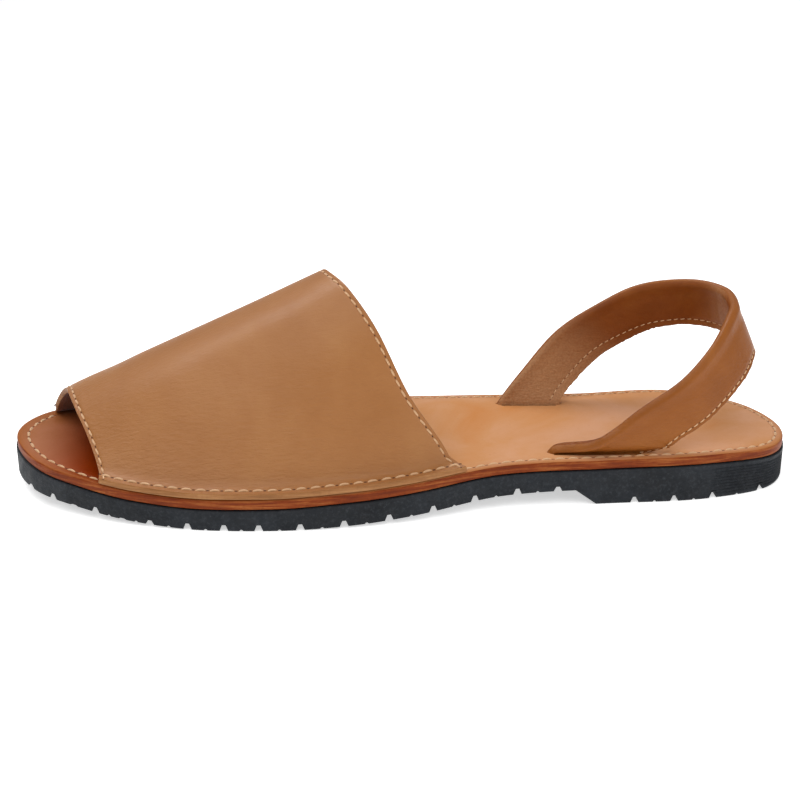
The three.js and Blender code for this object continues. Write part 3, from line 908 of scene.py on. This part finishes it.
# Insole
def slit_cutter(knot, side):
    length = knot[5] + 2 * SLIT_CLEARANCE
    width = STRAP_THICKNESS * SLIT_FULLNESS + 2 * SLIT_CLEARANCE
    mesh = bpy.data.meshes.new("slit_cutter")
    work = bmesh.new()
    bmesh.ops.create_cube(work, size=1)
    bmesh.ops.scale(work, verts=work.verts, vec=(length, width, 3 * INSOLE_THICKNESS))
    upright = [e for e in work.edges if abs(e.verts[0].co.z - e.verts[1].co.z) > 1]
    offset = width * SLIT_ROUNDING
    bmesh.ops.bevel(work, geom=upright, offset=offset, segments=6, affect="EDGES")
    middle = Vector((knot[0], knot[1], float(insole_top(knot[0])))) + Vector(SHIFT)
    turn = Matrix.Translation(middle / 1000) @ Matrix.Rotation(side * knot[4], 4, "Z")
    bmesh.ops.transform(work, matrix=turn @ Matrix.Scale(0.001, 4), verts=work.verts)
    work.to_mesh(mesh)
    work.free()
    return bpy.data.objects.new("slit_cutter", mesh)


def welt_inset(x):
    """The seam round the sole lies farther from the edge at the toe."""
    near, far = TOE_INSET_FADE
    return SEAMS["welt"]["inset"] + TOE_INSET * (1 - smoothstep(x, TOE_X + near, TOE_X + far))


def build_insole():
    x = stations([])
    turns = np.radians([0, 22.5, 45, 67.5, 90])
    inset = welt_inset(x)
    channel = WELT_CHANNEL * np.arange(-2, 3)
    outward = [-INSOLE_SETBACK - INSOLE_UNDERCUT, -INSOLE_SETBACK]
    outward += [-INSOLE_SETBACK - INSOLE_ROUNDING * (1 - math.cos(t)) for t in turns]
    outward = [np.full_like(x, o) for o in outward]
    outward += [-inset + CHANNEL_MARGIN] + [-inset - c for c in channel]
    level = [-INSOLE_THICKNESS, -INSOLE_THICKNESS + INSOLE_UNDERCUT]
    level += [-INSOLE_ROUNDING * (1 - math.sin(t)) for t in turns]
    level += [0] + list(-CHANNEL_DEPTH * bell(channel, 0, WELT_CHANNEL))
    outward, level = np.stack(outward, 1), np.array(level)
    sides = []
    for side in ("inner", "outer"):
        px, py = edge_at(side, x[:, None], outward)
        sides.append(np.stack([px, py, insole_top(px) + level], -1))
    share = np.linspace(0, 1, INSOLE_ACROSS + 2)[1:-1, None]
    between = sides[0][:, -1:, :2] * (1 - share) + sides[1][:, -1:, :2] * share
    bed = np.concatenate([between, insole_top(between[..., :1])], -1)
    rings = np.concatenate([sides[0], bed, sides[1][:, ::-1]], axis=1)
    size = rings.shape[1]
    cut = len(level) - len(channel) - 4
    looks = np.zeros((len(x) - 1, size), int)
    looks[:, :cut] = 1
    looks[:, size - cut - 1 :] = 1
    points = rings.reshape(-1, 3)
    bare = np.full((len(x), INSOLE_ACROSS), FAR_FROM_RIM)
    depth = np.concatenate([outward, bare, outward[:, ::-1]], axis=1).ravel()
    rim = INSOLE_RIM["share"] * np.exp((depth + INSOLE_SETBACK) / INSOLE_RIM["fade"])
    # The toe mark grows from the tip to full strength under the front of the vamp, then fades:
    # painted shade under the vamp over the toe's deeper colour
    risen, gone = (
        smoothstep(points[:, 0], TOE_X + near, TOE_X + far)
        for near, far in (TOE_DYE_AND_SHADE["risen"], TOE_DYE_AND_SHADE["gone"])
    )
    toe = (TOE_DYE_AND_SHADE["tip"] + TOE_DYE_AND_SHADE["rise"] * risen) * (1 - gone)
    thing = piece(
        "insole_leather",
        points,
        ring_faces(len(x), size),
        [INSOLE, EDGE],
        "insole_leather",
        "insole",
        looks.ravel(),
        {"rim": rim, "toe": toe},
    )
    for knot, side in ((KNOTS[1], 1), (KNOTS[-2], -1)):
        cutter = slit_cutter(knot, side)
        bpy.context.scene.collection.objects.link(cutter)
        slit = thing.modifiers.new("slit", "BOOLEAN")
        slit.object, slit.operation, slit.solver = cutter, "DIFFERENCE", "EXACT"
        with bpy.context.temp_override(object=thing, active_object=thing):
            bpy.ops.object.modifier_apply(modifier=slit.name)
        bpy.data.objects.remove(cutter)
    thing.data.set_sharp_from_angle(angle=math.radians(38))
    return thing


# Vamp
FLANGE_SHARE = 0.12
BEND_SHARE = 0.2
FRONT_X = TOE_OPENING - SOLE_LENGTH / 2
BACK_X = THROAT_BACK - SOLE_LENGTH / 2
BALL_DECK = RUBBER_THICKNESS + SEAT_GAP + INSOLE_THICKNESS


def vamp_point(x, over):
    """The outer face: station x, share over from the outer flange to the inner flange."""
    x, over = np.broadcast_arrays(np.asarray(x, float), over)
    section = {key: smooth_value(VAMP_SECTIONS, "along", key, share_of(x)) for key in VAMP_SECTIONS}
    near = over < 0.5
    side = np.where(near, -1.0, 1.0)
    climb = 2 * np.minimum(over, 1 - over)
    deck = insole_top(x) + SEAT_GAP + VAMP_THICKNESS
    rim = np.where(
        near, edge_at("outer", x, -INSOLE_SETBACK)[1], edge_at("inner", x, -INSOLE_SETBACK)[1]
    )
    foot = rim - side * FLANGE_WIDTH
    slope = np.radians(np.where(near, section["outer"], section["inner"]))
    wall = np.stack([-side * np.cos(slope), np.sin(slope)], -1)
    crest = BALL_DECK + section["rise"] * INSTEP_RISE
    ridge = np.stack([section["across"] * BALL_WIDTH, crest], -1)
    base = np.stack([foot, deck], -1)
    chord = np.linalg.norm(ridge - base, axis=-1, keepdims=True)
    start = base + FLANGE_BEND * wall
    out = np.stack([side * FLANGE_BEND, np.zeros_like(side)], -1)
    inward = (FLANGE_WIDTH - FLANGE_BEND) * climb / FLANGE_SHARE
    flat = np.stack([rim - side * inward, deck], -1)
    t = np.clip((climb - FLANGE_SHARE) / (BEND_SHARE - FLANGE_SHARE), 0, 1)[..., None]
    bend = (1 - t) ** 2 * (base + out) + 2 * t * (1 - t) * base + t**2 * start
    t = np.clip((climb - BEND_SHARE) / (1 - BEND_SHARE), 0, 1)[..., None]
    reach = section["wall"][..., None] * chord
    crown = np.stack([side, np.zeros_like(side)], -1) * section["crown"][..., None] * chord
    body = (1 - t) ** 3 * start + 3 * t * (1 - t) ** 2 * (start + reach * wall)
    body = body + 3 * t**2 * (1 - t) * (ridge + crown) + t**3 * ridge
    climb = climb[..., None]
    yz = np.where(climb <= FLANGE_SHARE, flat, np.where(climb < BEND_SHARE, bend, body))
    return np.concatenate([x[..., None], yz], -1)


def vamp_span(over):
    front = FRONT_X - TOE_SWEEP * smooth_value(VAMP_EDGES, "over", "front", over)
    back = BACK_X - THROAT_SWEEP * smooth_value(VAMP_EDGES, "over", "back", over)
    return front, back


def vamp_place(down, over):
    front, back = vamp_span(over)
    return vamp_point(front + (back - front) * down, over)


def vamp_normal(down, over):
    near = 0.004
    front, back = np.clip(down - near, 0, 1), np.clip(down + near, 0, 1)
    low, high = np.clip(over - near, 0, 1), np.clip(over + near, 0, 1)
    along = vamp_place(back, over) - vamp_place(front, over)
    return unit(np.cross(along, vamp_place(down, high) - vamp_place(down, low)))


def vamp_relief(down, over, length):
    """Soft unevenness and the channels that the seams pull into the surface."""
    inset = SEAMS["vamp"]["inset"]
    ends = (down * length, (1 - down) * length)
    channel = sum(bell(end, inset, VAMP_CHANNEL) for end in ends)
    swell = 0
    for height, at, reach, across, width in SWELLS:
        swell = swell + height * bell(down, at, reach) * bell(over, across, width)
    return swell - CHANNEL_DEPTH * channel


def build_vamp():
    half = np.concatenate(
        [
            FLANGE_COLUMNS,
            np.linspace(FLANGE_SHARE, BEND_SHARE, 7)[:-1],
            np.linspace(BEND_SHARE, 1, VAMP_COLUMNS // 2 + 1),
        ]
    )
    overs = np.concatenate([half / 2, 1 - half[-2::-1] / 2])
    front, back = vamp_span(overs)
    length = back - front
    middle = np.linspace(0, 1, VAMP_ROWS)[:, None] * (length - 2 * VAMP_MARGIN) + VAMP_MARGIN
    near = NEAR_EDGE[:, None]
    run = np.concatenate([near + 0 * length, middle, length - near[::-1]])
    downs = run / length
    thick, rows = VAMP_THICKNESS, len(downs)
    lap = np.array([0.3, 0.9, 1.3, thick - 0.3])
    ends = np.ones((len(lap), 1)) + 0 * length
    down = np.concatenate([downs, ends, downs[::-1], 0 * ends])
    depth = np.concatenate([np.zeros(rows), lap, np.full(rows, thick), lap[::-1]])
    depth = depth[:, None] + 0 * length
    sides = [0, -1]
    rounding = 1 - 2 * VAMP_ROUNDING / thick
    depth[:, sides] = thick / 2 + (depth[:, sides] - thick / 2) * rounding
    overs[1], overs[-2] = FIRST_COLUMN, 1 - FIRST_COLUMN
    grid = np.broadcast_to(overs, down.shape)
    outside = vamp_place(down, grid)
    normal = vamp_normal(down, grid)
    relief = vamp_relief(down, grid, length)
    relief[rows + len(lap) : 2 * rows + len(lap)] *= 0.5
    shell = outside + normal * (relief - depth)[..., None]
    rings = np.swapaxes(shell, 0, 1)
    count, size = rings.shape[:2]
    faces = ring_faces(count, size)
    first_inside, last_inside = rows + len(lap), 2 * rows + len(lap) - 1
    looks = np.zeros((count - 1, size), int)
    looks[:, rows - 1 : first_inside] = 2
    looks[:, first_inside:last_inside] = 1
    looks[:, last_inside:] = 2
    looks[[0, -1]] = 2
    chosen = list(looks.ravel())
    for base, flip in ((0, False), ((count - 1) * size, True)):
        caps = [[k, k + 1, last_inside - k - 1, last_inside - k] for k in range(rows - 1)]
        for first in (rows - 1, last_inside):
            caps.append([(first + k) % size for k in range(len(lap) + 2)])
        for cap in caps:
            corners = [base + k for k in cap]
            faces.append(corners[::-1] if flip else corners)
            chosen.append(2)
    # The rim mark darkens the vamp towards its front and back cut edges and its flanges' outer
    # edges; along the flanges' foot on the insole this darkening is painted shade
    run_out = np.minimum(down, 1 - down) * length
    side_out = np.minimum(grid, 1 - grid) * 2 * (FLANGE_WIDTH - FLANGE_BEND) / FLANGE_SHARE
    rim = np.exp(-np.minimum(run_out, side_out) / VAMP_RIM_FADE)
    return piece(
        "vamp_leather",
        rings.reshape(-1, 3),
        faces,
        [VAMP_GRAIN, FLESH, VAMP_EDGE],
        "vamp_leather",
        "vamp",
        chosen,
        {"rim": np.swapaxes(rim, 0, 1).ravel()},
        sharp=50,
    )


# Seams
SEAM_RINGS = np.linspace(-1, 1, 9)
SEAM_SIDES = 8
SEAM_BLUNTNESS = 3.5
LOOK_AHEAD = 0.6

# Bodies as shares of the thread's radius, except for the depth and height of a hole
THREAD_BODY = {"above": 0.42, "rise": 0.8, "dip": 0.9}
HOLE_BODY = {"below": 0.02, "half": 1.15, "radius": 0.95, "rise": 0.12}


def seam_bodies(centres, along, up, half, radius, rise, dip):
    """Closed rounded bodies, one per centre, whose ends dip into the surface."""
    side = unit(np.cross(up, along))
    up = unit(np.cross(along, side))
    turn = np.arange(SEAM_SIDES) * 2 * np.pi / SEAM_SIDES
    size = np.sqrt(np.maximum(0, 1 - np.abs(SEAM_RINGS) ** SEAM_BLUNTNESS))
    u, c, s = SEAM_RINGS[:, None], size[:, None] * np.cos(turn), size[:, None] * np.sin(turn)
    half = np.broadcast_to(half, len(centres))[:, None, None, None]
    points = centres[:, None, None] + u[..., None] * half * along[:, None, None]
    points = points + radius * c[..., None] * side[:, None, None]
    lift = rise * s[..., None] - dip * (u**2)[..., None]
    points = points + lift * up[:, None, None]
    block = len(SEAM_RINGS) * SEAM_SIDES
    one = np.array(ring_faces(len(SEAM_RINGS), SEAM_SIDES))
    faces = (one[None] + block * np.arange(len(centres))[:, None, None]).reshape(-1, 4)
    return points.reshape(-1, 3), faces.tolist()


def resample(line, normals, pitch):
    """Stitches and needle holes evenly spaced on a line, each as place, direction and normal."""
    run = np.concatenate([[0], np.cumsum(np.linalg.norm(np.diff(line, axis=0), axis=1))])
    count = max(1, round(run[-1] / pitch))
    step = run[-1] / count

    def pick(at, rows):
        return np.column_stack([np.interp(at, run, rows[:, k]) for k in range(3)])

    def rows_at(places):
        along = unit(pick(places + LOOK_AHEAD, line) - pick(places - LOOK_AHEAD, line))
        return pick(places, line), along, unit(pick(places, normals))

    return rows_at(step * (np.arange(count) + 0.5)), rows_at(step * np.arange(count + 1))


def seam(name, lines, seam_key, slot, seed):
    sizes = SEAMS[seam_key]
    draws = np.random.default_rng(seed)
    pairs = [resample(line, normals, sizes["pitch"]) for line, normals in lines]
    radius = sizes["radius"]
    centre, along, up = (np.concatenate([pair[0][k] for pair in pairs]) for k in range(3))
    side = np.cross(up, along)
    slant = STITCH_SLANT + draws.normal(0, SLANT_SPREAD, (len(centre), 1))
    along = unit(along + slant * side)
    half = sizes["thread"] / 2 * (1 + draws.normal(0, LENGTH_SPREAD, len(centre)))
    above, rise, dip = (radius * THREAD_BODY[key] for key in ("above", "rise", "dip"))
    body = seam_bodies(centre + up * above, along, up, half, radius, rise, dip)
    piece(name + "_thread", *body, [THREAD], slot)
    # Needle holes: slightly raised dark discs, painted shade for holes that are not cut
    centre, along, up = (np.concatenate([pair[1][k] for pair in pairs]) for k in range(3))
    half, width = radius * HOLE_BODY["half"], radius * HOLE_BODY["radius"]
    low = centre - up * HOLE_BODY["below"]
    body = seam_bodies(low, along, up, half, width, HOLE_BODY["rise"], 0)
    piece(name + "_holes", *body, [HOLE_SHADE], slot)


def welt_lines():
    """The seam round the sole: on the insole, and over the vamp's flanges."""
    inset = welt_inset(OUTLINE[:, :1])
    toe = OUTLINE[:, 0].argmin()
    flat = np.roll(OUTLINE - inset * OUTLINE_NORMAL, -toe, axis=0)
    overs = np.linspace(0, BEND_SHARE / 2, FLANGE_SAMPLES)
    parts, current, state = [], [], None
    for x, y in flat:
        side_overs = overs if y < TOE_TIP * BALL_WIDTH / 2 else 1 - overs
        section = vamp_point(np.full(FLANGE_SAMPLES, x), side_overs)
        order = np.argsort(section[:, 1])
        over = np.interp(y, section[order, 1], side_overs[order])
        front, back = vamp_span(over)
        on_vamp = front < x < back
        if on_vamp:
            height = np.interp(y, section[order, 1], section[order, 2])
            normal = vamp_normal(np.array((x - front) / (back - front)), np.array(over))
        else:
            height = insole_top(x) - CHANNEL_DEPTH
            slope = (insole_top(x + 1) - insole_top(x - 1)) / 2
            normal = unit(np.array([-slope, 0, 1]))
        if state is not None and on_vamp != state:
            parts.append(current)
            current = []
        state = on_vamp
        current.append((np.array([x, y, height]), normal))
    parts[0] = current + parts[0]
    return [tuple(np.array([row[k] for row in part]) for k in (0, 1)) for part in parts]


def vamp_lines():
    """The seams along the front edge and the back edge of the vamp."""
    inset = SEAMS["vamp"]["inset"]
    over = np.linspace(*VAMP_LINE_ENDS, VAMP_LINE_SAMPLES)
    front, back = vamp_span(over)
    lines = []
    for down in (inset / (back - front), 1 - inset / (back - front)):
        normal = vamp_normal(down, over)
        lines.append((vamp_place(down, over) - CHANNEL_DEPTH * normal, normal))
    return lines


def strap_lines(seam_key, sign):
    """A seam along the strap's raw edge, between the slits."""
    first, last = FOOT_STEPS + 1, -2
    places = strap_places()[first:last]
    wide, thick = strap_frames(places)
    inset = strap_inset(seam_key, np.arange(first, first + len(places)) / STRAP_STEPS)
    half = strap_half_thickness(inset, places[:, 5], inset)
    across = (inset - places[:, 5] / 2)[:, None]
    line = places[:, :3] + across * wide + sign * half[:, None] * thick
    return [(line, sign * thick)]


build_outsole()
build_insole()
build_vamp()
build_strap()
seam("welt", welt_lines(), "welt", "insole_leather", seed=3)
seam("vamp_seam", vamp_lines(), "vamp", "vamp_leather", seed=5)
seam("strap_outer_seam", strap_lines("strap_outer", 1), "strap_outer", "strap_leather", seed=7)
seam("strap_inner_seam", strap_lines("strap_inner", -1), "strap_inner", "strap_leather", seed=9)


# Floor, light and camera
WHITE = (1, 1, 1, 1)
FLOOR_REACH = 6
FLOOR_GLOW = 0.55
WORLD_LIGHT = 0.35
WORLD_SEEN = 0.9

# Camera: degrees, metres and millimetres of focal length
CAMERA_AZIMUTH = -3.92
CAMERA_ELEVATION = 21.53
CAMERA_DISTANCE = 0.4753
CAMERA_TARGET = (-0.00107, 0.00032, 0.02611)
CAMERA_LENS = 62.12
CAMERA_SENSOR = 36
CAMERA_CLIP = 0.01


def floor():
    look = Look(
        "pale_floor",
        roughness=0.9,
        specular_ior_level=0.1,
        emission_color=WHITE,
        emission_strength=FLOOR_GLOW,
    )
    colour = look.ramp(look.noise(3, 2), (0.3, (0.9, 0.9, 0.9, 1)), (0.7, (0.92, 0.92, 0.92, 1)))
    mesh = bpy.data.meshes.new("floor")
    reach = FLOOR_REACH
    corners = [(-reach, -reach, 0), (reach, -reach, 0), (reach, reach, 0), (-reach, reach, 0)]
    mesh.from_pydata(corners, [], [(0, 1, 2, 3)])
    mesh.materials.append(look.set(base_color=colour))
    thing = bpy.data.objects.new("floor", mesh)
    bpy.context.scene.collection.objects.link(thing)


def direction(azimuth, elevation):
    """From the sandal towards the viewer: 0 degrees looks at it from -Y."""
    a, e = math.radians(azimuth), math.radians(elevation)
    return Vector((math.sin(a) * math.cos(e), -math.cos(a) * math.cos(e), math.sin(e)))


def soft_light(name, azimuth, elevation, distance, size, height, power):
    data = bpy.data.lights.new(name, "AREA")
    data.shape, data.size, data.size_y, data.energy = "ELLIPSE", size, height, power
    thing = bpy.data.objects.new(name, data)
    back = direction(azimuth, elevation)
    turn = back.to_track_quat("Z", "Y").to_matrix().to_4x4()
    thing.matrix_world = Matrix.Translation(back * distance) @ turn
    bpy.context.scene.collection.objects.link(thing)


def camera():
    back = direction(CAMERA_AZIMUTH, CAMERA_ELEVATION)
    azimuth = math.radians(CAMERA_AZIMUTH)
    right = Vector((math.cos(azimuth), math.sin(azimuth), 0))
    turn = Matrix((right, back.cross(right), back)).transposed().to_4x4()
    data = bpy.data.cameras.new("camera")
    data.lens, data.sensor_width, data.clip_start = CAMERA_LENS, CAMERA_SENSOR, CAMERA_CLIP
    thing = bpy.data.objects.new("camera", data)
    place = Vector(CAMERA_TARGET) + back * CAMERA_DISTANCE
    thing.matrix_world = Matrix.Translation(place) @ turn
    bpy.context.scene.collection.objects.link(thing)
    bpy.context.scene.camera = thing


def world():
    """Even light from all round, and a pale wall where the world itself is seen."""
    made = bpy.data.worlds.new("studio")
    bpy.context.scene.world = made
    made.use_nodes = True
    nodes, links = made.node_tree.nodes, made.node_tree.links
    light, seen = nodes["Background"], nodes.new("ShaderNodeBackground")
    for node, strength in ((light, WORLD_LIGHT), (seen, WORLD_SEEN)):
        node.inputs["Color"].default_value = WHITE
        node.inputs["Strength"].default_value = strength
    mix = nodes.new("ShaderNodeMixShader")
    links.new(nodes.new("ShaderNodeLightPath").outputs["Is Camera Ray"], mix.inputs[0])
    links.new(light.outputs[0], mix.inputs[1])
    links.new(seen.outputs[0], mix.inputs[2])
    links.new(mix.outputs[0], nodes["World Output"].inputs["Surface"])


floor()
world()
soft_light("key", azimuth=-30, elevation=62, distance=1.3, size=1.3, height=1.3, power=8)
soft_light("fill", azimuth=60, elevation=32, distance=1.4, size=1.4, height=1.4, power=6)
soft_light("rim", azimuth=-150, elevation=57, distance=1.4, size=1.7, height=0.3, power=11)
camera()
bpy.context.scene.view_settings.view_transform = "Standard"
